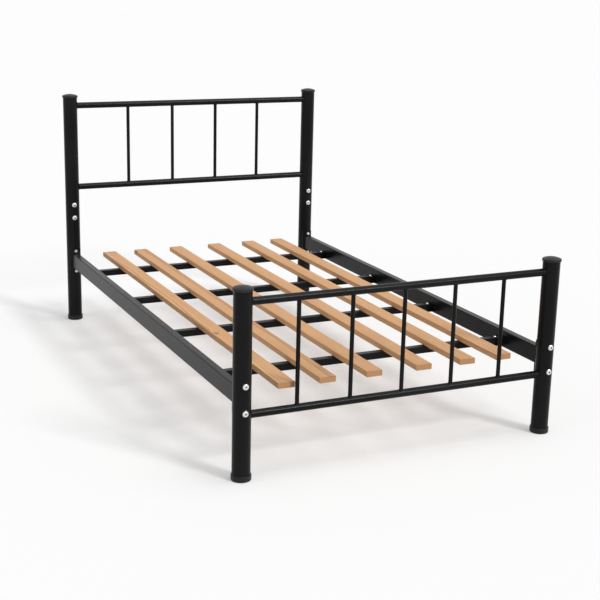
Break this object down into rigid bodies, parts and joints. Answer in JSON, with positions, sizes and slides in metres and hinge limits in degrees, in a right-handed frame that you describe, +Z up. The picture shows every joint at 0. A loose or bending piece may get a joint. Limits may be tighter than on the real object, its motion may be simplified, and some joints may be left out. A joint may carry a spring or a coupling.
{
  "type": "bed frame",
  "caption": "Tubular steel bed frame with spindled head and foot frames, box-section side rails and a lengthwise pine slat deck.",
  "frame": {"origin": "on the floor, at the centre of the bed's footprint", "axes": "+Z up; +Y along the bed towards the head end; +X to the right as seen from the foot"},
  "size_m": [1.196, 2.0218, 1],
  "materials": {
    "powder_coat": "satin black powder coat",
    "black_plastic": "fine-grained moulded black plastic",
    "black_nylon": "smooth black nylon",
    "bright_nickel": "bright nickel plate",
    "zinc_steel": "plain zinc plate",
    "pine": "planed pine, unvarnished"
  },
  "bodies": {
    "root": {"head_post_upper_left": "powder_coat", "head_leg_left": "powder_coat", "foot_post_left": "powder_coat", "side_rail_left": "powder_coat", "member_seats_left": "powder_coat", "head_sleeve_left": "zinc_steel", "post_cap_foot_left": "black_plastic", "floor_glide_foot_left": "black_plastic", "rail_saddle_foot_left": "powder_coat", "post_cap_head_left": "black_plastic", "floor_glide_head_left": "black_plastic", "rail_saddle_head_left": "powder_coat", "head_post_upper_right": "powder_coat", "head_leg_right": "powder_coat", "foot_post_right": "powder_coat", "side_rail_right": "powder_coat", "member_seats_right": "powder_coat", "head_sleeve_right": "zinc_steel", "post_cap_foot_right": "black_plastic", "floor_glide_foot_right": "black_plastic", "rail_saddle_foot_right": "powder_coat", "post_cap_head_right": "black_plastic", "floor_glide_head_right": "black_plastic", "rail_saddle_head_right": "powder_coat", "head_top_bar": "powder_coat", "head_lower_bar": "powder_coat", "foot_top_bar": "powder_coat", "foot_lower_bar": "powder_coat", "head_spindle_1": "powder_coat", "head_spindle_2": "powder_coat", "head_spindle_3": "powder_coat", "head_spindle_4": "powder_coat", "foot_spindle_1": "powder_coat", "foot_spindle_2": "powder_coat", "foot_spindle_3": "powder_coat", "foot_spindle_4": "powder_coat", "foot_spindle_5": "powder_coat", "cross_member_1": "powder_coat", "cross_member_2": "powder_coat", "cross_member_3": "powder_coat", "cross_member_4": "powder_coat", "slat_1": "pine", "slat_2": "pine", "slat_3": "pine", "slat_4": "pine", "slat_5": "pine", "slat_6": "pine", "rail_bolts_foot": "bright_nickel", "rail_bolts_head": "bright_nickel", "head_joint_bolts": "bright_nickel", "seat_bolts": "bright_nickel", "rail_nuts": "zinc_steel", "head_joint_nuts": "zinc_steel", "seat_nuts": "zinc_steel", "slat_screws": "zinc_steel", "saddle_washers": "black_nylon"}
  },
  "joints": []
}
